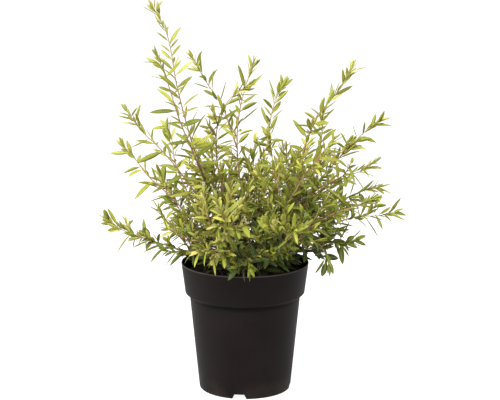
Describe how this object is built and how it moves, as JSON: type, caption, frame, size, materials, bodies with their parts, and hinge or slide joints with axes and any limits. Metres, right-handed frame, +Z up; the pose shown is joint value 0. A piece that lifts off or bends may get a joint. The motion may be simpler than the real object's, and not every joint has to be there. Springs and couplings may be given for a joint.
{
  "type": "potted myrtle",
  "caption": "Potted myrtle: a bushy shrub of thin upright and spreading leafy stems in a round black nursery pot filled with soil; it stands on the pot's flat foot.",
  "frame": {"origin": "middle of the pot's underside, on the surface that the pot stands on", "axes": "+Z up along the pot's axis, -Y towards the viewer of the picture, +X to the viewer's right"},
  "size_m": [0.3367, 0.2597, 0.434],
  "materials": {
    "pot": "satin",
    "soil": "matte",
    "stems_and_leaves": "satin"
  },
  "bodies": {
    "root": {"pot": "pot", "soil": "soil", "leafy_stem_01": "stems_and_leaves", "leafy_stem_02": "stems_and_leaves", "leafy_stem_03": "stems_and_leaves", "leafy_stem_04": "stems_and_leaves", "leafy_stem_05": "stems_and_leaves", "leafy_stem_06": "stems_and_leaves", "leafy_stem_07": "stems_and_leaves", "leafy_stem_08": "stems_and_leaves", "leafy_stem_09": "stems_and_leaves", "leafy_stem_10": "stems_and_leaves", "leafy_stem_11": "stems_and_leaves", "leafy_stem_12": "stems_and_leaves", "leafy_stem_13": "stems_and_leaves", "leafy_stem_14": "stems_and_leaves", "leafy_stem_15": "stems_and_leaves", "leafy_stem_16": "stems_and_leaves", "leafy_stem_17": "stems_and_leaves", "leafy_stem_18": "stems_and_leaves", "leafy_stem_19": "stems_and_leaves", "leafy_stem_20": "stems_and_leaves", "leafy_stem_21": "stems_and_leaves", "leafy_stem_22": "stems_and_leaves", "leafy_stem_23": "stems_and_leaves", "leafy_stem_24": "stems_and_leaves", "leafy_stem_25": "stems_and_leaves", "leafy_stem_26": "stems_and_leaves", "leafy_stem_27": "stems_and_leaves", "leafy_stem_28": "stems_and_leaves", "leafy_stem_29": "stems_and_leaves", "leafy_stem_30": "stems_and_leaves", "leafy_stem_31": "stems_and_leaves", "leafy_stem_32": "stems_and_leaves"}
  },
  "joints": []
}
